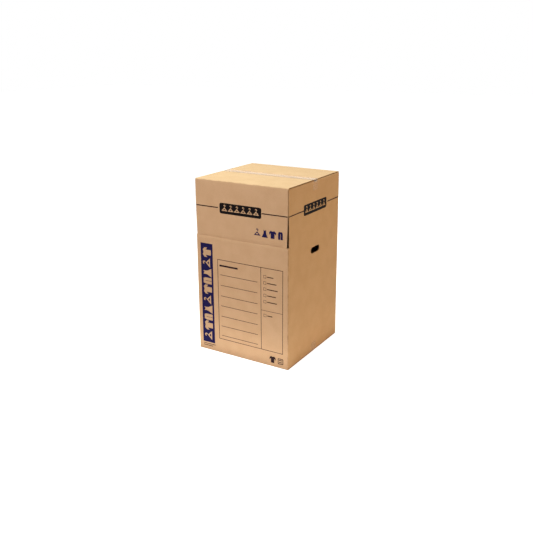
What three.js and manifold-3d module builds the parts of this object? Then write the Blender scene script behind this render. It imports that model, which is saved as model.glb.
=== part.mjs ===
// Wardrobe moving box: a tall square carton folded from one die-cut sheet of corrugated board, with a
// drop-front door slit into its front panel, a hand hole in each side, a pressed steel hanger bar across
// the inside, and a strip of clear tape over the closed top and bottom seams. Millimetres, +Z up, the front
// faces -Y, and the origin is under the middle of the box, on the surface it stands on.
import * as THREE from "three";
import { mergeVertices } from "three/addons/utils/BufferGeometryUtils.js";
import Module from "manifold-3d";

const wasm = await Module();
wasm.setup();

// Box, outside
const WIDTH = 508;
const DEPTH = 508;
const HEIGHT = 864;

// Board and folds
const BOARD = 4; // C flute
const PLY_GAP = 0.3; // air between an outer flap and the inner flap that it lies on
const CORNER_RADIUS = 5; // outside radius of the upright corner folds
const CREASE_RADIUS = 5; // outside radius where a flap folds over
const GLUE_TAB = 36; // width of the tab that closes the sleeve, glued inside the back panel
const GLUE_TAB_MITRE = 12;
const RAW_EDGE_SETBACK = 1; // the back panel stops this far short of the left panel's outside face

// Flaps
const SLOT = 3.5; // width of the slot between two neighbouring flaps
const SEAM_GAP = 0.8; // between two flaps that meet in the middle
const TOP_FLAP_SKEW = 1.2; // the top front flap sits this far to the right, the back one to the left
const INNER_FLAP_CLEARANCE = 1.5; // beside an inner flap, to the panels that it folds down between

// Drop-front door: the front panel above a scored line, cut free at both corners
const DOOR_HEIGHT = 272;
const SLOT_DROP = 130; // from the top of the box to where the corner cut opens into a slot
const DOOR_CUT = 1.5; // the corner cut above the slot, almost closed
const DOOR_SLOT_TOP = 4.4;
const DOOR_SLOT_FOOT = 10.5; // beside the scored line
const DOOR_SLOT_CORNER = 2; // radius of the slot's two lower corners
const SCORE_WIDTH = 3;
const SCORE_DEPTH = 0.8;

// Hand holes, one in each side panel
const HAND_HOLE_LENGTH = 86;
const HAND_HOLE_HEIGHT = 30;
const HAND_HOLE_RADIUS = 14;
const HAND_HOLE_DROP = 337; // from the top of the box to the middle of the hole

// Hanger bar: one pressed steel strip whose ends drop into windows cut through the side panels' top creases
const STEEL = 1.2;
const BAR_WIDTH = 22;
const BAR_FLANGE = 13;
const BAR_BEND = 2.4; // outside radius of the bends
const HOOK_ROOM = 32; // from the underside of the inner flaps down to the top of the bar
const BAR_WALL_CLEARANCE = 4; // from a side panel's inside face to the bar's upright end
const TONGUE_DROP = 4.8; // from the side panel's crease down to the underside of the tongue
const TONGUE_SETBACK = 0.8; // the tongue stops this far inside the panel's outside face
const FLANGE_SETBACK = 10; // the stiffening flanges stop this far short of the bar's upright ends
const SEAT_GAP = 0.3;
const WINDOW_SIDE_CLEARANCE = 1.5;
const WINDOW_REACH = 13; // how far the window runs from the panel's outside face into the inner flap

// Tape
const TAPE_WIDTH = 48;
const TAPE = 0.06;
const TAPE_GAP = 0.04;
const TAPE_LAP = 50; // down or up each side panel
const TAPE_BEND = 0.6; // outside radius where it turns over the edge
const TAPE_PRESS_MARGIN = 0.5; // board pressed in beside the tape

// Worked out from the sizes above
const PLY = BOARD + PLY_GAP;
const INNER_LEVEL = HEIGHT - PLY; // the outside face of a top inner flap
const SLEEVE_TOP = INNER_LEVEL - CREASE_RADIUS;
const SLEEVE_FOOT = HEIGHT - SLEEVE_TOP;
const DOOR_SCORE = HEIGHT - DOOR_HEIGHT;
const OUTER_FLAP_WIDTH = WIDTH - SLOT;
const INNER_FLAP_WIDTH = DEPTH - 2 * (BOARD + INNER_FLAP_CLEARANCE);
const ARC_STEPS = 4; // half the number of flats in a quarter turn
const OVERRUN = 2; // how far a cut runs past the board, and a fold into the panel that it joins
const WELD = 1e-4; // points closer than this are one

const kraft = new THREE.MeshStandardMaterial({ color: 0xc4996b, roughness: 0.9, metalness: 0 });
const galvanised = new THREE.MeshStandardMaterial({ color: 0xa3a8ab, roughness: 0.42, metalness: 1 });
const clearTape = new THREE.MeshStandardMaterial({
  color: 0xe2d2bd,
  roughness: 0.25,
  metalness: 0,
  transparent: true,
  opacity: 0.35,
});

// A closed geometry as a solid that can be joined and cut
function solidOf(geometry) {
  const bare = geometry.index ? geometry.toNonIndexed() : geometry.clone();
  bare.deleteAttribute("normal");
  bare.deleteAttribute("uv");
  const merged = mergeVertices(bare, WELD);
  return new wasm.Manifold(
    new wasm.Mesh({
      numProp: 3,
      vertProperties: merged.attributes.position.array,
      triVerts: new Uint32Array(merged.index.array),
    }),
  );
}

function meshOf(name, solid, material) {
  const { vertProperties, triVerts } = solid.getMesh();
  const geometry = new THREE.BufferGeometry();
  geometry.setAttribute("position", new THREE.BufferAttribute(vertProperties, 3));
  geometry.setIndex(new THREE.BufferAttribute(triVerts, 1));
  geometry.computeVertexNormals();
  const mesh = new THREE.Mesh(geometry, material);
  mesh.name = name;
  return mesh;
}

// A flat outline pulled out along the third axis of a frame: `across` and `up` are the directions of the
// outline's own axes, and the solid runs from `from` to `to` along across x up
function pull(shape, { across, up, at = [0, 0, 0], from, to }) {
  const x = new THREE.Vector3(...across);
  const y = new THREE.Vector3(...up);
  const z = new THREE.Vector3().crossVectors(x, y);
  const frame = new THREE.Matrix4().makeBasis(x, y, z).setPosition(...at);
  const geometry = new THREE.ExtrudeGeometry(shape, {
    depth: to - from,
    bevelEnabled: false,
    curveSegments: ARC_STEPS,
  });
  return solidOf(geometry.translate(0, 0, from).applyMatrix4(frame));
}

function block([x0, y0, z0], [x1, y1, z1]) {
  const geometry = new THREE.BoxGeometry(x1 - x0, y1 - y0, z1 - z0);
  return solidOf(geometry.translate((x0 + x1) / 2, (y0 + y1) / 2, (z0 + z1) / 2));
}

// Section of a sheet whose outside face runs through these points and folds left through a right angle at
// each one between the first and the last
function foldedSection(points, thickness, radius) {
  const line = points.map(([x, y]) => new THREE.Vector2(x, y));
  const heading = (i) => line[i + 1].clone().sub(line[i]).normalize();
  const leftOf = (d) => new THREE.Vector2(-d.y, d.x);
  const folds = line.slice(1, -1).map((corner, i) => {
    const before = heading(i);
    const centre = corner
      .clone()
      .addScaledVector(before, -radius)
      .addScaledVector(heading(i + 1), radius);
    const start = Math.atan2(-before.x, before.y);
    return { centre, start };
  });
  const end = line[line.length - 1];
  const insideEnd = end.clone().addScaledVector(leftOf(heading(line.length - 2)), thickness);
  const insideStart = line[0].clone().addScaledVector(leftOf(heading(0)), thickness);
  const shape = new THREE.Shape();
  shape.moveTo(insideStart.x, insideStart.y);
  shape.lineTo(line[0].x, line[0].y);
  for (const { centre, start } of folds) {
    shape.absarc(centre.x, centre.y, radius, start, start + Math.PI / 2, false);
  }
  shape.lineTo(end.x, end.y);
  shape.lineTo(insideEnd.x, insideEnd.y);
  for (const { centre, start } of folds.reverse()) {
    shape.absarc(centre.x, centre.y, radius - thickness, start + Math.PI / 2, start, true);
  }
  shape.closePath();
  return shape;
}

function roundedRectangle(width, height, radius) {
  const [x, y] = [width / 2 - radius, height / 2 - radius];
  const shape = new THREE.Shape();
  shape.absarc(x, -y, radius, -Math.PI / 2, 0, false);
  shape.absarc(x, y, radius, 0, Math.PI / 2, false);
  shape.absarc(-x, y, radius, Math.PI / 2, Math.PI, false);
  shape.absarc(-x, -y, radius, Math.PI, (3 * Math.PI) / 2, false);
  shape.closePath();
  return shape;
}

function polygon(points) {
  return new THREE.Shape(points.map(([x, y]) => new THREE.Vector2(x, y)));
}

// The four upright panels, folded at three corners and closed at the back left by the glued tab
function sleeve() {
  const [x, y] = [WIDTH / 2, DEPTH / 2];
  const upright = { across: [1, 0, 0], up: [0, 1, 0], from: SLEEVE_FOOT, to: SLEEVE_TOP };
  const panels = [
    [-x, 0],
    [-x, -y],
    [x, -y],
    [x, y],
    [-x + RAW_EDGE_SETBACK, y],
  ];
  const tabFold = [
    [-x + CORNER_RADIUS + OVERRUN, y - BOARD],
    [-x, y - BOARD],
    [-x, -OVERRUN],
  ];
  const [tabStart, tabEnd] = [-x + CORNER_RADIUS, -x + GLUE_TAB];
  const tabOutline = polygon([
    [tabStart, SLEEVE_FOOT],
    [tabEnd, SLEEVE_FOOT + GLUE_TAB_MITRE],
    [tabEnd, SLEEVE_TOP - GLUE_TAB_MITRE],
    [tabStart, SLEEVE_TOP],
  ]);
  const tab = pull(tabOutline, {
    across: [1, 0, 0],
    up: [0, 0, 1],
    from: -(y - BOARD),
    to: -(y - 2 * BOARD),
  });
  return pull(foldedSection(panels, BOARD, CORNER_RADIUS), upright)
    .add(pull(foldedSection(tabFold, BOARD, CORNER_RADIUS), upright))
    .add(tab);
}

// One flap with its fold and the strip of panel that it hangs from. `inward` points from the panel to the
// flap's free end, `outward` out of the box, and `foot` is where the fold's outside corner lies
function flap({ inward, outward, foot, length, width, skew = 0 }) {
  const section = [
    [length, 0],
    [0, 0],
    [0, -(PLY + CREASE_RADIUS + OVERRUN)],
  ];
  return pull(foldedSection(section, BOARD, CREASE_RADIUS), {
    across: inward,
    up: outward,
    at: foot,
    from: skew - width / 2,
    to: skew + width / 2,
  });
}

function flaps() {
  const outerLength = (DEPTH - SEAM_GAP) / 2;
  const innerLength = (WIDTH - SEAM_GAP) / 2;
  const ends = [
    { outward: [0, 0, 1], outerLevel: HEIGHT, innerLevel: INNER_LEVEL, skew: TOP_FLAP_SKEW },
    { outward: [0, 0, -1], outerLevel: 0, innerLevel: PLY, skew: 0 },
  ];
  return ends.flatMap(({ outward, outerLevel, innerLevel, skew }) =>
    [1, -1].flatMap((side) => [
      flap({
        inward: [0, side, 0],
        outward,
        foot: [0, (-side * DEPTH) / 2, outerLevel],
        length: outerLength,
        width: OUTER_FLAP_WIDTH,
        skew,
      }),
      flap({
        inward: [side, 0, 0],
        outward,
        foot: [(-side * WIDTH) / 2, 0, innerLevel],
        length: innerLength,
        width: INNER_FLAP_WIDTH,
      }),
    ]),
  );
}

// The cut that frees one side of the door: a narrow cut down from the top, which opens into a slot that
// widens to its foot at the scored line
function doorCut(side) {
  const [half, corner] = [DOOR_SLOT_FOOT / 2, DOOR_SLOT_CORNER];
  const slotTop = HEIGHT - SLOT_DROP;
  const top = SLEEVE_TOP + OVERRUN;
  const outline = new THREE.Shape();
  outline.absarc(corner - half, DOOR_SCORE + corner, corner, Math.PI, 1.5 * Math.PI, false);
  outline.absarc(half - corner, DOOR_SCORE + corner, corner, 1.5 * Math.PI, 2 * Math.PI, false);
  outline.lineTo(DOOR_SLOT_TOP / 2, slotTop);
  outline.lineTo(DOOR_CUT / 2, slotTop + DOOR_SLOT_TOP);
  outline.lineTo(DOOR_CUT / 2, top);
  outline.lineTo(-DOOR_CUT / 2, top);
  outline.lineTo(-DOOR_CUT / 2, slotTop + DOOR_SLOT_TOP);
  outline.lineTo(-DOOR_SLOT_TOP / 2, slotTop);
  outline.closePath();
  const diagonal = Math.SQRT1_2;
  return pull(outline, {
    across: [diagonal, side * diagonal, 0],
    up: [0, 0, 1],
    at: [(side * WIDTH) / 2, -DEPTH / 2, 0],
    from: -2 * BOARD - OVERRUN,
    to: OVERRUN,
  });
}

function doorScore() {
  const groove = polygon([
    [-DEPTH / 2 - OVERRUN, DOOR_SCORE + SCORE_WIDTH / 2],
    [-DEPTH / 2 - OVERRUN, DOOR_SCORE - SCORE_WIDTH / 2],
    [-DEPTH / 2, DOOR_SCORE - SCORE_WIDTH / 2],
    [-DEPTH / 2 + SCORE_DEPTH, DOOR_SCORE],
    [-DEPTH / 2, DOOR_SCORE + SCORE_WIDTH / 2],
  ]);
  const reach = WIDTH / 2 - CORNER_RADIUS;
  return pull(groove, { across: [0, 1, 0], up: [0, 0, 1], from: -reach, to: reach });
}

function handHole(side) {
  const hole = roundedRectangle(HAND_HOLE_LENGTH, HAND_HOLE_HEIGHT, HAND_HOLE_RADIUS);
  const [near, far] = [WIDTH / 2 - BOARD - OVERRUN, WIDTH / 2 + OVERRUN];
  return pull(hole, {
    across: [0, 1, 0],
    up: [0, 0, 1],
    at: [0, 0, HEIGHT - HAND_HOLE_DROP],
    from: side > 0 ? near : -far,
    to: side > 0 ? far : -near,
  });
}

// The window through a side panel's top crease that the bar's tongue drops into
function barWindow(side) {
  const halfWidth = BAR_WIDTH / 2 + WINDOW_SIDE_CLEARANCE;
  const foot = INNER_LEVEL - TONGUE_DROP - SEAT_GAP;
  const [near, far] = [WIDTH / 2 - WINDOW_REACH, WIDTH / 2 + OVERRUN];
  return block(
    [side > 0 ? near : -far, -halfWidth, foot],
    [side > 0 ? far : -near, halfWidth, INNER_LEVEL + PLY_GAP / 2],
  );
}

// Board pressed in under the tape at the top and the bottom, so that the tape lies flush with the flaps
function tapePress() {
  const halfWidth = TAPE_WIDTH / 2 + TAPE_PRESS_MARGIN;
  const depth = TAPE + TAPE_GAP;
  const bottom = block([-WIDTH / 2, -halfWidth, -OVERRUN], [WIDTH / 2, halfWidth, depth]);
  const top = block([-WIDTH / 2, -halfWidth, HEIGHT - depth], [WIDTH / 2, halfWidth, HEIGHT + OVERRUN]);
  return bottom.add(top);
}

function carton() {
  const cuts = [
    doorCut(1),
    doorCut(-1),
    doorScore(),
    handHole(1),
    handHole(-1),
    barWindow(1),
    barWindow(-1),
    tapePress(),
  ];
  const folded = flaps().reduce((board, piece) => board.add(piece), sleeve());
  return cuts.reduce((board, cut) => board.subtract(cut), folded);
}

function hangerBar() {
  const tongueFoot = INNER_LEVEL - TONGUE_DROP;
  const barTop = HEIGHT - PLY - BOARD - HOOK_ROOM;
  const endFace = WIDTH / 2 - BOARD - BAR_WALL_CLEARANCE;
  const tip = WIDTH / 2 - TONGUE_SETBACK;
  const [half, bend] = [BAR_WIDTH / 2, BAR_BEND];
  const strip = (section) =>
    pull(section, { across: [1, 0, 0], up: [0, 0, 1], from: -half, to: half });

  // The web and one upright end, folded up at the bar and out again at the tongue
  const riser = (side) => {
    const outline = new THREE.Shape();
    const [x0, x1] = [endFace - STEEL, endFace];
    const inner = bend - STEEL;
    const tongueTop = tongueFoot + STEEL;
    outline.moveTo(0, barTop);
    outline.lineTo(0, barTop - STEEL);
    outline.absarc(x1 - bend, barTop - STEEL + bend, bend, -Math.PI / 2, 0, false);
    outline.absarc(x1 + inner, tongueFoot - inner, inner, Math.PI, Math.PI / 2, true);
    outline.lineTo(tip, tongueFoot);
    outline.lineTo(tip, tongueTop);
    outline.absarc(x0 + bend, tongueTop - bend, bend, Math.PI / 2, Math.PI, false);
    outline.absarc(x0 - inner, barTop + inner, inner, 0, -Math.PI / 2, true);
    outline.closePath();
    const solid = strip(outline);
    return side > 0 ? solid : solid.rotate([0, 0, 180]);
  };

  // The channel that stiffens the span: the web with a flange turned down along each side
  const reach = endFace - FLANGE_SETBACK;
  const channel = foldedSection(
    [
      [half, barTop - BAR_FLANGE],
      [half, barTop],
      [-half, barTop],
      [-half, barTop - BAR_FLANGE],
    ],
    STEEL,
    bend,
  );
  const span = pull(channel, { across: [0, 1, 0], up: [0, 0, 1], from: -reach, to: reach });
  const middle = block(
    [-reach, -half - OVERRUN, barTop - STEEL - OVERRUN],
    [reach, half + OVERRUN, barTop + OVERRUN],
  );
  return span.add(riser(1).subtract(middle)).add(riser(-1).subtract(middle));
}

// A strip of tape over the edges of the box: across the top or the bottom, and down or up both side panels
function tape(atTop) {
  const across = WIDTH / 2 + TAPE_GAP + TAPE;
  const face = atTop ? HEIGHT : 0;
  const lapEnd = atTop ? HEIGHT - TAPE_LAP : TAPE_LAP;
  const side = atTop ? 1 : -1;
  const section = foldedSection(
    [
      [side * across, lapEnd],
      [side * across, face],
      [-side * across, face],
      [-side * across, lapEnd],
    ],
    TAPE,
    TAPE_BEND,
  );
  return pull(section, {
    across: [1, 0, 0],
    up: [0, 0, 1],
    from: -TAPE_WIDTH / 2,
    to: TAPE_WIDTH / 2,
  });
}

const box = new THREE.Group();
box.add(
  meshOf("carton", carton(), kraft),
  meshOf("hanger_bar", hangerBar(), galvanised),
  meshOf("top_tape", tape(true), clearTape),
  meshOf("bottom_tape", tape(false), clearTape),
);

export default box;
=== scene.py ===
import math

import bmesh
import bpy
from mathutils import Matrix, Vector


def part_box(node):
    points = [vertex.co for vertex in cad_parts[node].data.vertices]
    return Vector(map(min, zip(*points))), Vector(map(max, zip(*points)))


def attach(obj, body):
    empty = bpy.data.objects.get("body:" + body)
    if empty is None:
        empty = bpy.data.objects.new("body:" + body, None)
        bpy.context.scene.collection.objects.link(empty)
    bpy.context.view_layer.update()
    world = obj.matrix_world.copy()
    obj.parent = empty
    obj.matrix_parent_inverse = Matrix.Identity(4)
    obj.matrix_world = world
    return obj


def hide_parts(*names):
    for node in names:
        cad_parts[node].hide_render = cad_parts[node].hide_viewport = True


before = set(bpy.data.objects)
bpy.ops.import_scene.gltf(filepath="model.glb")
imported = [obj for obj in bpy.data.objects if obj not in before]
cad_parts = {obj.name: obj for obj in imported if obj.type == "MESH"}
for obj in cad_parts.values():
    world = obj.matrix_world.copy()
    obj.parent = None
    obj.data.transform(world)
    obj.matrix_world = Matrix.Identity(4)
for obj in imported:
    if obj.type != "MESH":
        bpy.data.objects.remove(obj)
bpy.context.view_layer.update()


# The camera: it stands to the right of the box's front corner, a little above its top, and looks down at
# it, as the photograph does.
camera_place = Vector((1.655, -2.728, 1.436))
camera_heading = math.radians(31.4)
camera_dip = math.radians(15.3)
camera_roll = math.radians(0.25)
camera_lens = 45.2
camera_shift = -0.06

bpy.ops.object.camera_add(location=camera_place)
camera = bpy.context.object
camera.rotation_euler = (math.pi / 2 - camera_dip, camera_roll, camera_heading)
camera.data.lens = camera_lens
camera.data.shift_y = camera_shift
camera.data.sensor_width = 36.0
bpy.context.scene.camera = camera


# The carton: one sheet of corrugated board, brown kraft paper on both faces, creased and folded into a
# square sleeve and closed by four flaps at each end. Its cut edges show the fluted paper between the two
# liners, and its walls bow a little, as a filled carton's do.
top_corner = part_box("carton")[1]
half_width = top_corner.x
half_depth = top_corner.y
height = top_corner.z
board = 0.004
liner = 0.0004
ply = board + 0.0003
crease_radius = 0.005
flute_pitch = 0.0076
wall_grid = 0.032
bow_depth = 0.003
top_sag = 0.0012


def deselect():
    bpy.ops.object.select_all(action="DESELECT")


def make_active(*pieces):
    deselect()
    for piece in pieces:
        piece.select_set(True)
    bpy.context.view_layer.objects.active = pieces[0]


def fix_place():
    bpy.ops.object.transform_apply(location=True, rotation=True, scale=True)


def join(name, pieces):
    make_active(*pieces)
    bpy.ops.object.join()
    joined = bpy.context.object
    joined.name = name
    joined.data.name = name
    return joined


def finish_modifier(piece, kind, **settings):
    make_active(piece)
    modifier = piece.modifiers.new(kind.title(), kind)
    for setting, value in settings.items():
        setattr(modifier, setting, value)
    bpy.ops.object.modifier_apply(modifier=modifier.name)


def select(kind, passes):
    """In edit mode, select the vertices, edges or faces whose middle passes a test."""
    bpy.ops.mesh.select_mode(type=kind)
    bpy.ops.mesh.select_all(action="DESELECT")
    shape = bmesh.from_edit_mesh(bpy.context.edit_object.data)
    if kind == "VERT":
        chosen = [vertex for vertex in shape.verts if passes(vertex.co)]
    elif kind == "EDGE":
        chosen = [edge for edge in shape.edges if passes((edge.verts[0].co + edge.verts[1].co) / 2)]
    else:
        chosen = [face for face in shape.faces if passes(face.calc_center_median())]
    for part in chosen:
        part.select_set(True)
    bmesh.update_edit_mesh(bpy.context.edit_object.data)


def block(name, low, high):
    """A block between two corners, left in object mode."""
    low, high = Vector(low), Vector(high)
    deselect()
    bpy.ops.mesh.primitive_cube_add(size=1, location=(low + high) / 2)
    made = bpy.context.object
    made.scale = high - low
    made.name = name
    fix_place()
    return made


def cut_grid(piece, step, axes="xyz"):
    """Cut a piece along evenly spaced planes, so that it can bow smoothly."""
    make_active(piece)
    bpy.ops.object.mode_set(mode="EDIT")
    for axis, reach_from, reach_to in (
        ("x", -half_width, half_width),
        ("y", -half_depth, half_depth),
        ("z", 0.0, height),
    ):
        if axis not in axes:
            continue
        normal = Vector([float(axis == other) for other in "xyz"])
        cuts = round((reach_to - reach_from) / step)
        for cut in range(1, cuts):
            bpy.ops.mesh.select_all(action="SELECT")
            level = reach_from + (reach_to - reach_from) * cut / cuts
            bpy.ops.mesh.bisect(plane_co=normal * level, plane_no=normal)
    bpy.ops.object.mode_set(mode="OBJECT")


deselect()
carton = bpy.data.objects.new("carton_board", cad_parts["carton"].data.copy())
bpy.context.collection.objects.link(carton)
make_active(carton)
bpy.ops.object.mode_set(mode="EDIT")
bpy.ops.mesh.select_all(action="SELECT")
bpy.ops.mesh.remove_doubles(threshold=2e-6)
bpy.ops.mesh.dissolve_limited(angle_limit=math.radians(0.3))
bpy.ops.object.mode_set(mode="OBJECT")

# The hollow behind a cut edge that runs along the flutes: the fluted paper slopes from one liner down to the
# other, so the hollow is a wedge as deep as half a flute.
hollow_depth = flute_pitch / 2
hollow_mouth = 0.001
flap_half_width = half_width - 0.00175
inner_flap_half_width = half_depth - board - 0.0015
inner_flap_end = 0.016
top_flap_skew = 0.0012
seam_end = 0.004
fold_end = crease_radius + 0.002


def wedge(low, high, deep_side, closed_side):
    """A block whose deep side is squeezed flat onto its closed side. A side is an axis and a level."""
    made = block("hollow", low, high)
    deep_axis, deep_level = deep_side
    flat_axis, flat_level = closed_side
    bpy.ops.object.mode_set(mode="EDIT")
    select("VERT", lambda place: abs(place[deep_axis] - deep_level) < 1e-6)
    squeeze = [1.0, 1.0, 1.0]
    squeeze[flat_axis] = 0.0
    centre = [0.0, 0.0, 0.0]
    centre[flat_axis] = flat_level
    bpy.ops.transform.resize(value=squeeze, center_override=centre)
    bpy.ops.mesh.select_all(action="SELECT")
    bpy.ops.mesh.remove_doubles(threshold=1e-7)
    bpy.ops.mesh.normals_make_consistent(inside=False)
    bpy.ops.object.mode_set(mode="OBJECT")
    return made


def flap_hollow(along, edge, direction, run, level, outward):
    """The hollow in one side edge of a flap: its edge lies at `edge`, and `direction` points off the flap."""
    across = 1 - along
    mouth = edge + direction * hollow_mouth
    deep = edge - direction * hollow_depth
    face_levels = sorted((level - outward * liner, level - outward * (board - liner)))
    low, high = [0.0, 0.0, face_levels[0]], [0.0, 0.0, face_levels[1]]
    low[across], high[across] = sorted((mouth, deep))
    low[along], high[along] = sorted(run)
    closed = level - outward * (board - liner)
    return wedge(low, high, (across, deep), (2, closed))


hollows = []
for outward, outer_level, skew in ((1, height, top_flap_skew), (-1, 0.0, 0.0)):
    inner_level = outer_level - outward * ply
    for side in (-1, 1):
        outer_run = (side * seam_end, side * (half_depth - fold_end))
        inner_run = (side * seam_end, side * (half_width - inner_flap_end))
        for edge_side in (-1, 1):
            outer_edge = edge_side * flap_half_width - side * skew
            hollows.append(flap_hollow(1, outer_edge, edge_side, outer_run, outer_level, outward))
            inner_edge = edge_side * inner_flap_half_width
            hollows.append(flap_hollow(0, inner_edge, edge_side, inner_run, inner_level, outward))

# The back panel's raw edge, where the sleeve's two ends meet over the glued tab
raw_edge = -half_width + 0.001
raw_edge_end = 0.012
hollows.append(
    wedge(
        (raw_edge - hollow_mouth / 2, half_depth - board + liner, raw_edge_end),
        (raw_edge + hollow_depth, half_depth - liner, height - raw_edge_end),
        (0, raw_edge + hollow_depth),
        (1, half_depth - board + liner),
    )
)

# The flutes that show in the rim of each hand hole: a row of upright hollows, half of them open towards the
# outside liner and half towards the inside one, with the fluted paper left standing between them
hand_hole_middle = height - 0.337
hand_hole_half_length = 0.043
hand_hole_half_height = 0.015
fluted_paper = 0.00045
bore_mouth_share = 0.86
bore_tip_share = 0.22
bore_height = hand_hole_half_height + 0.006
flute_count = 2 * math.ceil(hand_hole_half_length / flute_pitch)
for side in (-1, 1):
    outside = side * (half_width - liner)
    inside = side * (half_width - board + liner)
    for mouth, tip, phase in ((outside, inside, 0.0), (inside, outside, 0.5)):
        towards_tip = math.copysign(fluted_paper, tip - mouth)
        first = (phase - flute_count / 2) * flute_pitch
        bore = block(
            "hollow",
            (min(mouth, tip - towards_tip), first - flute_pitch / 2, hand_hole_middle - bore_height),
            (max(mouth, tip - towards_tip), first + flute_pitch / 2, hand_hole_middle + bore_height),
        )
        bpy.ops.object.mode_set(mode="EDIT")
        bpy.ops.mesh.select_all(action="SELECT")
        bpy.ops.transform.resize(value=(1, bore_mouth_share, 1), center_override=(0, first, 0))
        select("VERT", lambda place: abs(place.x - (tip - towards_tip)) < 1e-5)
        bpy.ops.transform.resize(value=(1, bore_tip_share, 1), center_override=(0, first, 0))
        bpy.ops.object.mode_set(mode="OBJECT")
        finish_modifier(
            bore,
            "ARRAY",
            count=flute_count + 1,
            use_relative_offset=False,
            use_constant_offset=True,
            constant_offset_displace=(0, flute_pitch, 0),
        )
        hollows.append(bore)
cutter = join("hollows", hollows)


def srgb(code):
    """A colour written as six hexadecimal digits, for a shader socket."""
    parts = [int(code[place : place + 2], 16) / 255 for place in (0, 2, 4)]
    linear = [part / 12.92 if part <= 0.04045 else ((part + 0.055) / 1.055) ** 2.4 for part in parts]
    return (*linear, 1.0)


def node(tree, kind, inputs=None, **settings):
    """Add a shader node. An input is a value, or the output socket that feeds it."""
    made = tree.nodes.new(kind)
    for setting, value in settings.items():
        setattr(made, setting, value)
    for socket, value in (inputs or {}).items():
        if isinstance(value, bpy.types.NodeSocket):
            tree.links.new(value, made.inputs[socket])
        else:
            made.inputs[socket].default_value = value
    return made


def maths(tree, operation, first, second=0.5, third=0.0, clamp=False):
    inputs = {0: first, 1: second, 2: third}
    return node(tree, "ShaderNodeMath", inputs, operation=operation, use_clamp=clamp).outputs[0]


def blend_colours(tree, share, first, second):
    return node(tree, "ShaderNodeMix", {0: share, 6: first, 7: second}, data_type="RGBA").outputs[2]


def ramp(tree, value, low, high):
    """Stretch a value so that `low` becomes 0 and `high` becomes 1, with soft ends."""
    made = node(
        tree,
        "ShaderNodeMapRange",
        {"Value": value, "From Min": low, "From Max": high},
        interpolation_type="SMOOTHSTEP",
    )
    return made.outputs[0]


def new_group(name, inputs, outputs):
    group = bpy.data.node_groups.new(name, "ShaderNodeTree")
    for socket, kind, value in inputs:
        made = group.interface.new_socket(name=socket, in_out="INPUT", socket_type=kind)
        if value is not None:
            made.default_value = value
    for socket, kind in outputs:
        group.interface.new_socket(name=socket, in_out="OUTPUT", socket_type=kind)
    return group, group.nodes.new("NodeGroupInput"), group.nodes.new("NodeGroupOutput")


def new_material(name):
    """A material with an empty Principled shader, ready for its colour and finish."""
    material = bpy.data.materials.new(name)
    material.use_nodes = True
    tree = material.node_tree
    return material, tree, tree.nodes["Principled BSDF"]


def place_group(tree, group, inputs=None):
    return node(tree, "ShaderNodeGroup", inputs, node_tree=group)


# Flutes show through the liner as a faint washboard. They run up the walls and across the flaps, so the
# washboard varies across each panel's width.
washboard, washboard_in, washboard_out = new_group(
    "washboard", [("Pitch", "NodeSocketFloat", flute_pitch)], [("Wave", "NodeSocketFloat")]
)
place = node(washboard, "ShaderNodeTexCoord").outputs["Object"]
facing = node(washboard, "ShaderNodeNewGeometry").outputs["True Normal"]
place_parts = node(washboard, "ShaderNodeSeparateXYZ", {0: place}).outputs
facing_parts = node(washboard, "ShaderNodeSeparateXYZ", {0: facing}).outputs
side_facing = maths(washboard, "GREATER_THAN", maths(washboard, "ABSOLUTE", facing_parts["X"]), 0.7)
across = node(
    washboard, "ShaderNodeMix", {0: side_facing, 2: place_parts["X"], 3: place_parts["Y"]}
).outputs[0]
turns = maths(washboard, "DIVIDE", across, washboard_in.outputs["Pitch"])
swing = maths(washboard, "SINE", maths(washboard, "MULTIPLY", turns, 2 * math.pi))
half_swing = maths(washboard, "MULTIPLY_ADD", swing, 0.5, 0.5)
washboard.links.new(half_swing, washboard_out.inputs["Wave"])

# Kraft paper: cloudy formation, long fibres that lie around the box, and scattered dark and pale flecks
paper, paper_in, paper_out = new_group(
    "kraft_fibres",
    [("Fibre Scale", "NodeSocketFloat", 420.0), ("Cloud Scale", "NodeSocketFloat", 16.0)],
    [("Cloud", "NodeSocketFloat"), ("Fibre", "NodeSocketFloat"), ("Fleck", "NodeSocketFloat")],
)
place = node(paper, "ShaderNodeTexCoord").outputs["Object"]
stretched = node(paper, "ShaderNodeMapping", {"Vector": place, "Scale": (1.0, 1.0, 5.0)}).outputs[0]
cloud = node(
    paper,
    "ShaderNodeTexNoise",
    {"Vector": place, "Scale": paper_in.outputs["Cloud Scale"], "Detail": 4.0},
)
fibre = node(
    paper,
    "ShaderNodeTexNoise",
    {"Vector": stretched, "Scale": paper_in.outputs["Fibre Scale"], "Detail": 3.0, "Roughness": 0.6},
)
fleck_scale = maths(paper, "MULTIPLY", paper_in.outputs["Fibre Scale"], 0.55)
fleck = node(
    paper, "ShaderNodeTexNoise", {"Vector": stretched, "Scale": fleck_scale, "Detail": 1.0}
)
paper.links.new(ramp(paper, cloud.outputs[0], 0.32, 0.68), paper_out.inputs["Cloud"])
paper.links.new(fibre.outputs[0], paper_out.inputs["Fibre"])
paper.links.new(ramp(paper, fleck.outputs[0], 0.64, 0.74), paper_out.inputs["Fleck"])

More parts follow.
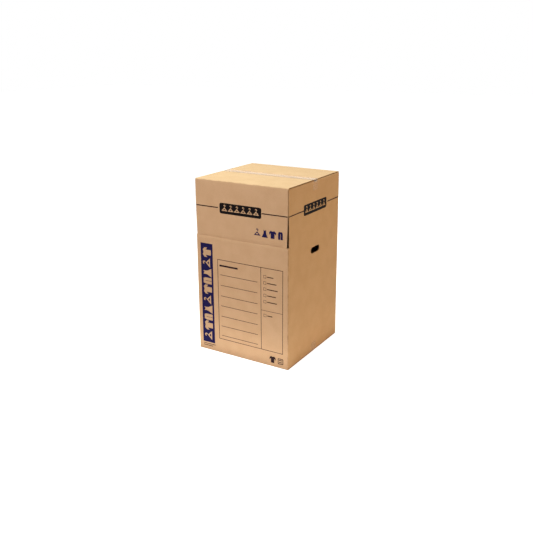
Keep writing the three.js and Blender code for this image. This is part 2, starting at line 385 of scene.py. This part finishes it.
# Handling rubs the liner paler along the upright corners and the end creases, and the paler tone is also
# painted highlight where the rounded folds catch light; the very fold is crushed and darker, and that dark is
# also painted shade in the crease
wear_and_light, wear_and_light_in, wear_and_light_out = new_group(
    "fold_wear_and_light", [("Reach", "NodeSocketFloat", 0.006)], [("Mask", "NodeSocketFloat")]
)
place = node(wear_and_light, "ShaderNodeTexCoord").outputs["Object"]
parts = node(wear_and_light, "ShaderNodeSeparateXYZ", {0: place}).outputs
middle_height = maths(wear_and_light, "SUBTRACT", parts["Z"], height / 2)
near = []
for socket, half in ((parts["X"], half_width), (parts["Y"], half_depth), (middle_height, height / 2)):
    from_face = maths(wear_and_light, "SUBTRACT", half, maths(wear_and_light, "ABSOLUTE", socket))
    closeness = maths(wear_and_light, "DIVIDE", from_face, wear_and_light_in.outputs["Reach"])
    near.append(maths(wear_and_light, "SUBTRACT", 1.0, closeness, clamp=True))
upright = maths(wear_and_light, "MULTIPLY", near[0], near[1])
ends = maths(wear_and_light, "MULTIPLY", near[2], maths(wear_and_light, "MAXIMUM", near[0], near[1]))
patchy = node(wear_and_light, "ShaderNodeTexNoise", {"Vector": place, "Scale": 28.0, "Detail": 5.0}).outputs[0]
# A mask along the folds, for their wear and for the painted highlight and painted shade there
fold_marked = maths(wear_and_light, "MULTIPLY", maths(wear_and_light, "MAXIMUM", upright, ends), ramp(wear_and_light, patchy, 0.35, 0.7))
wear_and_light.links.new(fold_marked, wear_and_light_out.inputs["Mask"])


def board_material(name, pale, dark, flute_shade):
    """Kraft liner over flutes, in two shades that its fibres and clouds mix."""
    material, tree, shader = new_material(name)
    fibres = place_group(tree, paper)
    wave = place_group(tree, washboard).outputs["Wave"]
    rub_and_highlight = place_group(tree, wear_and_light).outputs["Mask"]
    crush_and_shade = place_group(tree, wear_and_light, {"Reach": 0.0045}).outputs["Mask"]
    mottle = maths(tree, "MULTIPLY_ADD", fibres.outputs["Cloud"], 0.16, 0.16)
    mottle = maths(tree, "MULTIPLY_ADD", fibres.outputs["Fibre"], 0.70, mottle)
    mottle = maths(tree, "MULTIPLY_ADD", wave, -flute_shade, mottle, clamp=True)
    colour = blend_colours(tree, mottle, srgb(dark), srgb(pale))
    fleck_share = maths(tree, "MULTIPLY", fibres.outputs["Fleck"], 0.35)
    flecked = blend_colours(tree, fleck_share, colour, srgb("8a623c"))
    # Paler along the folds: rubbed wear, and painted highlight where the rounded folds catch light
    rub_and_highlight_share = maths(tree, "MULTIPLY", rub_and_highlight, 0.30)
    fold_marked = blend_colours(tree, rub_and_highlight_share, flecked, srgb("d9bd96"))
    # Darker at the very fold: crushed board, and painted shade in the crease
    folded = blend_colours(tree, crush_and_shade, fold_marked, srgb("7c5330"))
    tree.links.new(folded, shader.inputs["Base Color"])
    roughness = maths(tree, "MULTIPLY_ADD", fibres.outputs["Fibre"], 0.14, 0.78)
    tree.links.new(roughness, shader.inputs["Roughness"])
    shader.inputs["Specular IOR Level"].default_value = 0.28
    relief = maths(tree, "MULTIPLY_ADD", wave, 0.55, maths(tree, "MULTIPLY", fibres.outputs["Fibre"], 0.30))
    bump = node(tree, "ShaderNodeBump", {"Height": relief, "Distance": 0.00016, "Strength": 0.5})
    tree.links.new(bump.outputs[0], shader.inputs["Normal"])
    return material


kraft_liner = board_material("kraft_liner", "d7b48e", "bb946c", 0.05)
fluting = board_material("fluting_paper", "a67d52", "7d5a38", 0.0)
carton.data.materials.clear()
carton.data.materials.append(kraft_liner)
cutter.data.materials.clear()
cutter.data.materials.append(fluting)
finish_modifier(
    carton,
    "BOOLEAN",
    operation="DIFFERENCE",
    object=cutter,
    solver="EXACT",
    material_mode="TRANSFER",
)
bpy.data.objects.remove(cutter)
cut_grid(carton, wall_grid)

# The cage that bows the board, its print and its tape alike: each wall swells in the middle, and the closed
# top sags by less than a millimetre
deselect()
bpy.ops.object.add(type="LATTICE", location=(0, 0, height / 2))
cage = bpy.context.object
cage.scale = (2 * half_width, 2 * half_depth, height)
cage.data.points_u = 5
cage.data.points_v = 5
cage.data.points_w = 7
for point in cage.data.points:
    across_x, across_y, up = point.co
    swell_x = math.cos(math.pi * across_y) * math.cos(math.pi * up)
    swell_y = math.cos(math.pi * across_x) * math.cos(math.pi * up)
    sag = math.cos(math.pi * across_x) * math.cos(math.pi * across_y)
    point.co_deform.x += across_x * 2 * swell_x * bow_depth / (2 * half_width)
    point.co_deform.y += across_y * 2 * swell_y * bow_depth / (2 * half_depth)
    if up > 0.49:
        point.co_deform.z -= sag * top_sag / height


def bow(piece):
    finish_modifier(piece, "LATTICE", object=cage)


bow(carton)
make_active(carton)
bpy.ops.object.shade_smooth_by_angle(angle=math.radians(28))
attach(carton, "root")
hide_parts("carton")


# The hanger bar: a pressed strip of galvanised steel across the inside, with its edges turned down and its
# ends dropped into the side panels' creases. The frame's own shape stays, and gets its zinc finish here.
bar_steel, tree, shader = new_material("galvanised_steel")
place = node(tree, "ShaderNodeTexCoord").outputs["Object"]
spangle = node(tree, "ShaderNodeTexVoronoi", {"Vector": place, "Scale": 220.0}).outputs["Color"]
spangle_tone = node(tree, "ShaderNodeSeparateColor", {0: spangle}).outputs[0]
rolled = node(tree, "ShaderNodeMapping", {"Vector": place, "Scale": (4.0, 260.0, 260.0)}).outputs[0]
scratches = node(tree, "ShaderNodeTexNoise", {"Vector": rolled, "Scale": 6.0, "Detail": 4.0}).outputs[0]
zinc = blend_colours(tree, spangle_tone, srgb("9fa4a8"), srgb("c3c8cb"))
tree.links.new(zinc, shader.inputs["Base Color"])
tree.links.new(maths(tree, "MULTIPLY_ADD", scratches, 0.25, 0.28), shader.inputs["Roughness"])
shader.inputs["Metallic"].default_value = 1.0
scratch_bump = node(tree, "ShaderNodeBump", {"Height": scratches, "Distance": 0.00004, "Strength": 0.4})
tree.links.new(scratch_bump.outputs[0], shader.inputs["Normal"])
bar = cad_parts["hanger_bar"]
bar.data.materials.clear()
bar.data.materials.append(bar_steel)


# The tape: clear film with a gummed back, pressed over the seams at the top and the bottom and lapped onto
# the side panels. It is torn off on a toothed blade, so its ends are saw-edged, and it has dried in ripples.
# The laps are rubbed down, so they are clearer than the run over the seam.
tape_low, tape_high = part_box("top_tape")
tape_half_width = tape_high.y
tape_reach = half_width + 0.00012
tape_film = 0.00006
tape_floor = 0.00008
tape_turn = 0.0012
tape_lap = height - tape_low.z
tape_tooth = 0.0016
tape_tooth_depth = tape_tooth * 0.6
tape_teeth = round(2 * tape_half_width / tape_tooth)
run_steps = 48
lap_steps = 8

clear_film, tree, shader = new_material("clear_tape")
place = node(tree, "ShaderNodeTexCoord").outputs["Object"]
drawn = node(tree, "ShaderNodeMapping", {"Vector": place, "Scale": (12.0, 90.0, 12.0)}).outputs[0]
ripple = node(tree, "ShaderNodeTexNoise", {"Vector": drawn, "Scale": 4.0, "Detail": 3.0}).outputs[0]
blister = node(tree, "ShaderNodeTexNoise", {"Vector": place, "Scale": 85.0, "Detail": 2.0}).outputs[0]
film = blend_colours(tree, ramp(tree, blister, 0.5, 0.72), srgb("f2e7ef"), srgb("faf2f8"))
tree.links.new(film, shader.inputs["Base Color"])
along = node(tree, "ShaderNodeSeparateXYZ", {0: place}).outputs["X"]
lapped = maths(tree, "GREATER_THAN", maths(tree, "ABSOLUTE", along), half_width - tape_turn)
haze = maths(tree, "MULTIPLY_ADD", ramp(tree, blister, 0.5, 0.75), 0.04, 0.11)
haze = maths(tree, "MULTIPLY", haze, maths(tree, "MULTIPLY_ADD", lapped, -0.4, 1.0))
tree.links.new(haze, shader.inputs["Alpha"])
shader.inputs["Roughness"].default_value = 0.32
shader.inputs["Specular IOR Level"].default_value = 0.10
film_bump = node(tree, "ShaderNodeBump", {"Height": ripple, "Distance": 0.0004, "Strength": 0.35})
tree.links.new(film_bump.outputs[0], shader.inputs["Normal"])


def tape_strip(name, node_name, level, up):
    """Tape along the seam, turned over both edges of the box. `up` is 1 at the top and -1 at the bottom."""
    deselect()
    flat_reach = tape_reach - tape_turn
    bpy.ops.mesh.primitive_grid_add(
        x_subdivisions=run_steps, y_subdivisions=2 * tape_teeth, size=1, location=(0, 0, level)
    )
    strip = bpy.context.object
    strip.name = name
    strip.scale = (2 * flat_reach, 2 * tape_half_width, 1)
    fix_place()
    bpy.ops.object.mode_set(mode="EDIT")
    for side in (-1, 1):
        select("EDGE", lambda place: side * place.x > flat_reach - 1e-6)
        centre = (side * flat_reach, 0, level - up * tape_turn)
        bpy.ops.mesh.spin(steps=4, angle=-side * up * math.pi / 2, center=centre, axis=(0, 1, 0))
        lap = tape_lap - tape_turn
        lap_step = (0, 0, -up * lap / lap_steps)
        for part in range(lap_steps):
            bpy.ops.mesh.extrude_region_move(TRANSFORM_OT_translate={"value": lap_step})
        teeth_level = level - up * tape_lap
        select(
            "VERT",
            lambda place: abs(place.z - teeth_level) < 1e-5
            and side * place.x > 0
            and round((place.y + tape_half_width) / (tape_tooth / 2)) % 2 == 1,
        )
        bpy.ops.transform.translate(value=(0, 0, up * tape_tooth_depth))
    bpy.ops.mesh.select_all(action="SELECT")
    bpy.ops.mesh.remove_doubles(threshold=1e-6)
    bpy.ops.mesh.normals_make_consistent(inside=False)
    bpy.ops.object.mode_set(mode="OBJECT")
    bow(strip)
    finish_modifier(strip, "SOLIDIFY", thickness=tape_film, offset=1)
    strip.data.materials.append(clear_film)
    bpy.ops.object.shade_smooth_by_angle(angle=math.radians(50))
    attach(strip, "root")
    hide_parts(node_name)


tape_strip("seam_tape_top", "top_tape", height - tape_film, 1)
tape_strip("seam_tape_bottom", "bottom_tape", tape_floor, -1)


# The print: flat ink straight on the liner, in dark brown, navy and black. A brown rule crosses the front and
# the right-hand side at one level, the front has a navy band and a form to fill in, and the board shows
# faintly through the ink.
ink_lift = 0.00012
ink_face = -half_depth - ink_lift
print_left = -half_width


def ink_material(name, colour, cover):
    """Ink on kraft: the flutes print as faint pale streaks, and the fibres break the ink a little."""
    material, tree, shader = new_material(name)
    fibres = place_group(tree, paper, {"Fibre Scale": 520.0})
    wave = place_group(tree, washboard).outputs["Wave"]
    thin = maths(tree, "MULTIPLY_ADD", ramp(tree, fibres.outputs["Fibre"], 0.5, 0.75), 1.0 - cover, 0.0)
    thin = maths(tree, "MULTIPLY_ADD", wave, 0.25 * (1.0 - cover), thin, clamp=True)
    tree.links.new(blend_colours(tree, thin, srgb(colour), srgb("b8906a")), shader.inputs["Base Color"])
    tree.links.new(maths(tree, "MULTIPLY_ADD", fibres.outputs["Fibre"], 0.2, 0.6), shader.inputs["Roughness"])
    shader.inputs["Specular IOR Level"].default_value = 0.06
    return material


brown_ink = ink_material("brown_ink", "20111c", 0.90)
navy_ink = ink_material("navy_ink", "131145", 0.965)
black_ink = ink_material("black_ink", "060406", 0.985)


def patch(left, right, foot, top, corner=0.0):
    """A flat patch on the front panel, placed from its left edge and from the floor."""
    deselect()
    centre = (print_left + (left + right) / 2, ink_face, (foot + top) / 2)
    bpy.ops.mesh.primitive_plane_add(size=1, location=centre, rotation=(math.pi / 2, 0, 0))
    made = bpy.context.object
    made.scale = (right - left, top - foot, 1)
    fix_place()
    if corner:
        bpy.ops.object.mode_set(mode="EDIT")
        bpy.ops.mesh.select_all(action="SELECT")
        bpy.ops.mesh.bevel(offset=corner, segments=5, affect="VERTICES")
        bpy.ops.object.mode_set(mode="OBJECT")
    return made


def outline(piece, thickness):
    """Turn a flat patch into the line round its edge."""
    make_active(piece)
    bpy.ops.object.mode_set(mode="EDIT")
    bpy.ops.mesh.select_all(action="SELECT")
    bpy.ops.mesh.inset(thickness=thickness)
    bpy.ops.mesh.delete(type="FACE")
    bpy.ops.object.mode_set(mode="OBJECT")
    return piece


def stamp(pattern, x, z, size, turn=0.0, lift=0.0):
    """A copy of a pictogram, one unit high, at its place and size on the front panel."""
    deselect()
    made = bpy.data.objects.new(pattern.name, pattern.data.copy())
    bpy.context.collection.objects.link(made)
    make_active(made)
    made.scale = (size, 1, size)
    made.rotation_euler = (0, -turn, 0)
    made.location = (print_left + x, ink_face - lift, z)
    fix_place()
    return made


def finish_print(name, parts, ink, side=False):
    """Join the patches of one ink, bend them with the wall, give them a film's thickness and fix them."""
    printed = join(name, parts)
    if side:
        printed.rotation_euler = (0, 0, math.pi / 2)
        fix_place()
    cut_grid(printed, wall_grid, "yz" if side else "xz")
    bow(printed)
    finish_modifier(printed, "SOLIDIFY", thickness=ink_lift * 0.6, offset=-1)
    printed.data.materials.clear()
    printed.data.materials.append(ink)
    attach(printed, "root")


# The rule: on each of the two panels it breaks off at both sides of the label
rule_foot = 0.7336
rule_top = 0.7388
rule_start = 0.0045
rule_end = 0.5035
for panel, on_side, break_start, break_end in (
    ("front", False, 0.131, 0.370),
    ("side", True, 0.144, 0.378),
):
    rule = [
        patch(rule_start, break_start, rule_foot, rule_top),
        patch(break_end, rule_end, rule_foot, rule_top),
    ]
    finish_print("rule_" + panel, rule, brown_ink, side=on_side)


# The pictograms: plain signs for what the box holds, drawn one unit high. A hanger is a triangle's outline
# with a hook, and the garments are cut from a small grid.
def pictogram_start(name, columns, rows, wide):
    deselect()
    bpy.ops.mesh.primitive_grid_add(
        x_subdivisions=columns, y_subdivisions=rows, size=1, rotation=(math.pi / 2, 0, 0)
    )
    made = bpy.context.object
    made.name = name
    made.scale = (wide, 1, 1)
    fix_place()
    bpy.ops.object.mode_set(mode="EDIT")
    return made


def drop_faces(passes):
    select("FACE", passes)
    bpy.ops.mesh.delete(type="FACE")


def move(passes, step):
    select("VERT", passes)
    bpy.ops.transform.translate(value=step)


def narrow(passes, share):
    select("VERT", passes)
    bpy.ops.transform.resize(value=(share, 1, 1), center_override=(0, 0, 0))


shirt = pictogram_start("shirt", 4, 3, 1.1)
drop_faces(lambda place: abs(place.x) > 0.3 and place.z < 0.1)
move(lambda place: abs(place.x) > 0.5 and place.z > 0.1, (0, 0, -0.22))
narrow(lambda place: abs(place.x) > 0.5, 0.9)
move(lambda place: abs(place.x) < 0.01 and place.z > 0.45, (0, 0, -0.09))
bpy.ops.object.mode_set(mode="OBJECT")

trousers = pictogram_start("trousers", 5, 4, 0.66)
drop_faces(lambda place: abs(place.x) < 0.05 and place.z < 0.2)
narrow(lambda place: abs(place.x) < 0.08, 0.35)
narrow(lambda place: place.z > 0.45, 0.72)
bpy.ops.object.mode_set(mode="OBJECT")

dress = pictogram_start("dress", 2, 4, 0.9)
narrow(lambda place: place.z > 0.45, 0.44)
narrow(lambda place: 0.2 < place.z < 0.3, 0.38)
narrow(lambda place: -0.1 < place.z < 0.1, 0.46)
narrow(lambda place: -0.3 < place.z < -0.2, 0.74)
move(lambda place: abs(place.x) < 0.01 and place.z > 0.45, (0, 0, -0.14))
bpy.ops.object.mode_set(mode="OBJECT")

deselect()
bpy.ops.mesh.primitive_circle_add(vertices=3, radius=0.5, fill_type="NGON", rotation=(math.pi / 2, 0, 0))
arms = bpy.context.object
arms.scale = (1.14, 0.72, 1)
arms.location = (0, 0, -0.18)
fix_place()
outline(arms, 0.13)
deselect()
bpy.ops.mesh.primitive_circle_add(
    vertices=28, radius=0.17, fill_type="NGON", location=(0, 0, 0.36), rotation=(math.pi / 2, 0, 0)
)
hook = bpy.context.object
fix_place()
outline(hook, 0.115)
bpy.ops.object.mode_set(mode="EDIT")
drop_faces(lambda place: place.x < 0.02 and place.z < 0.36)
bpy.ops.object.mode_set(mode="OBJECT")
hanger = join("hanger", [arms, hook])


# The label: a black oblong between the two ends of the rule, on the front and on the right-hand side, with a
# row of hangers in the bare board's colour
label_middle = 0.254
label_level = 0.736
label_half_width = 0.114
label_half_height = 0.0255
label_corner = 0.009
label_signs = 6
label_sign_size = 0.033
label_sign_pitch = 0.0345
bare_board = board_material("bare_board_signs", "d2b08a", "b08a66", 0.0)

for panel, on_side in (("front", False), ("side", True)):
    ground = patch(
        label_middle - label_half_width,
        label_middle + label_half_width,
        label_level - label_half_height,
        label_level + label_half_height,
        corner=label_corner,
    )
    finish_print("label_" + panel, [ground], black_ink, side=on_side)
    signs = []
    for sign in range(label_signs):
        x = label_middle + (sign - (label_signs - 1) / 2) * label_sign_pitch
        signs.append(stamp(hanger, x, label_level, label_sign_size, lift=ink_lift))
    finish_print("label_signs_" + panel, signs, bare_board, side=on_side)


# The band: a broad navy stripe up the left of the front, with garments along it that read from the floor up
band_left = 0.023
band_right = 0.094
band_foot = 0.041
band_top = 0.553
band_middle = (band_left + band_right) / 2
finish_print("band", [patch(band_left, band_right, band_foot, band_top)], navy_ink)
bpy.context.view_layer.update()
band_signs = []
band_sign_count = 10
signs_in_turn = (hanger, shirt, trousers, dress)
band_sign_size = 0.048
band_sign_gap = 0.0046
sign_axis = band_middle + 0.001
sign_start = band_foot + 0.0145
for sign in range(band_sign_count):
    pattern = signs_in_turn[sign % len(signs_in_turn)]
    sign_width = pattern.dimensions.x * band_sign_size
    z = sign_start + sign_width / 2
    band_signs.append(stamp(pattern, sign_axis, z, band_sign_size, math.pi / 2, lift=ink_lift))
    sign_start += sign_width + band_sign_gap
finish_print("band_signs", band_signs, bare_board)

# Small navy marks above the crease, at the right of the drop-front door
door_signs = []
door_sign_start = 0.346
door_sign_pitch = 0.0405
door_sign_level = 0.6455
door_sign_size = 0.036
for sign, pattern in enumerate((hanger, dress, shirt, trousers)):
    x = door_sign_start + sign * door_sign_pitch
    door_signs.append(stamp(pattern, x, door_sign_level, door_sign_size))
finish_print("door_signs", door_signs, navy_ink)


# The form: a ruled frame with a heading bar and writing lines on the left, and tick boxes with short bars
# beside them on the right. Below it are two small signs, and two fine lines under the band.
form_left = 0.121
form_right = 0.481
form_foot = 0.075
form_top = 0.484
form_line = 0.0026
divider = 0.364
lower_box_foot = 0.2741
lower_box_top = 0.2759
heading_left = 0.132
heading_right = 0.237
heading_foot = 0.4500
heading_top = 0.4584
form = [
    outline(patch(form_left, form_right, form_foot, form_top), form_line),
    patch(divider - form_line / 2, divider + form_line / 2, form_foot, form_top),
    patch(divider, form_right, lower_box_foot, lower_box_top),
    patch(heading_left, heading_right, heading_foot, heading_top, corner=0.002),
]
writing_left = 0.137
writing_right = 0.345
writing_line = 0.0024
for level in (0.408, 0.355, 0.301, 0.250, 0.196, 0.145, 0.095):
    foot, top = level - writing_line / 2, level + writing_line / 2
    form.append(patch(writing_left, writing_right, foot, top))
tick_box = 0.0145
tick_left = 0.378
tick_line = 0.0016
word_left = 0.397
word_height = 0.0044
for level, word in (
    (0.441, 0.034),
    (0.411, 0.050),
    (0.381, 0.056),
    (0.350, 0.047),
    (0.319, 0.052),
    (0.251, 0.028),
):
    tick = patch(tick_left, tick_left + tick_box, level - tick_box / 2, level + tick_box / 2)
    form.append(outline(tick, tick_line))
    foot, top = level - word_height / 2, level + word_height / 2
    form.append(patch(word_left, word_left + word, foot, top, corner=0.001))

# A shirt, and a small frame round two bars
foot_sign_size = 0.033
form.append(stamp(shirt, 0.4255, 0.0365, foot_sign_size))
frame_line = 0.0034
form.append(outline(patch(0.4540, 0.4830, 0.0215, 0.0505, corner=0.003), frame_line))
for bar_foot, bar_top in ((0.0390, 0.0430), (0.0290, 0.0330)):
    form.append(patch(0.4605, 0.4765, bar_foot, bar_top))

# Two fine lines under the band
for line_end, line_foot, line_top in ((0.097, 0.0306, 0.0338), (0.081, 0.0216, 0.0248)):
    form.append(patch(0.025, line_end, line_foot, line_top))
finish_print("form", form, brown_ink)

for pattern in (hanger, shirt, trousers, dress):
    bpy.data.objects.remove(pattern)
bpy.data.objects.remove(cage)


# The studio: a pale floor that shows white to the camera, a broad lamp above, and softer ones that reach the
# front, the right-hand side and the back. The one behind stands too low to light the box's top.
deselect()
bpy.ops.mesh.primitive_plane_add(size=40, location=(0, 0, -0.0002))
floor = bpy.context.object
floor.name = "studio_floor"
pale_floor, tree, shader = new_material("pale_floor")
shader.inputs["Base Color"].default_value = (0.78, 0.77, 0.75, 1.0)
shader.inputs["Roughness"].default_value = 0.9
shader.inputs["Specular IOR Level"].default_value = 0.1
shader.inputs["Emission Color"].default_value = (1.0, 1.0, 1.0, 1.0)


def seen_rays(tree):
    """1 for the rays that show the studio itself, to the camera, in gloss and through clear film."""
    rays = node(tree, "ShaderNodeLightPath").outputs
    mirrored = maths(tree, "MAXIMUM", rays["Is Glossy Ray"], rays["Is Transmission Ray"])
    return maths(tree, "MAXIMUM", rays["Is Camera Ray"], mirrored)


floor_glow = maths(tree, "MULTIPLY", seen_rays(tree), 0.85)
tree.links.new(floor_glow, shader.inputs["Emission Strength"])
floor.data.materials.append(pale_floor)

world = bpy.data.worlds.new("studio_air")
bpy.context.scene.world = world
world.use_nodes = True
tree = world.node_tree
air = tree.nodes["Background"]
air_strength = maths(tree, "MULTIPLY_ADD", seen_rays(tree), 0.75, 0.25)
tree.links.new(air_strength, air.inputs["Strength"])
air.inputs["Color"].default_value = (1.0, 1.0, 1.0, 1.0)


def lamp(name, place, aim, size, power, tint, breadth=None):
    """An area lamp, square unless its breadth is given."""
    bpy.ops.object.light_add(type="AREA", location=place)
    made = bpy.context.object
    made.name = name
    made.rotation_euler = (Vector(aim) - Vector(place)).to_track_quat("-Z", "Y").to_euler()
    made.data.shape = "RECTANGLE"
    made.data.size = size
    made.data.size_y = breadth or size
    made.data.energy = power
    made.data.color = tint


lamp("lamp_above", (-0.4, -0.5, 2.9), (0, 0, 0.8), 1.8, 77, (0.89, 1.0, 0.93))
lamp("lamp_front", (-1.2, -3.6, 1.2), (0, 0, 0.3), 2.0, 32, (1.0, 0.62, 0.66))
lamp("lamp_side", (3.3, 0.4, 1.2), (0, 0, 0.3), 2.0, 31, (1.0, 0.55, 0.07))
lamp("lamp_back", (-0.9, 3.5, 0.55), (0, 0, 0.4), 1.8, 16, (1.0, 0.86, 0.72), breadth=0.5)

# What the pale floor throws back up at the foot of the front and of the right-hand side
lamp("floor_glow_front", (0, -0.36, 0.01), (0, -0.34, 0.11), 0.75, 0.42, (1.0, 1.0, 1.0), breadth=0.10)
lamp("floor_glow_side", (0.38, 0, 0.01), (0.36, 0, 0.11), 0.75, 0.22, (1.0, 0.88, 0.70), breadth=0.12)

bpy.context.scene.view_settings.view_transform = "Standard"
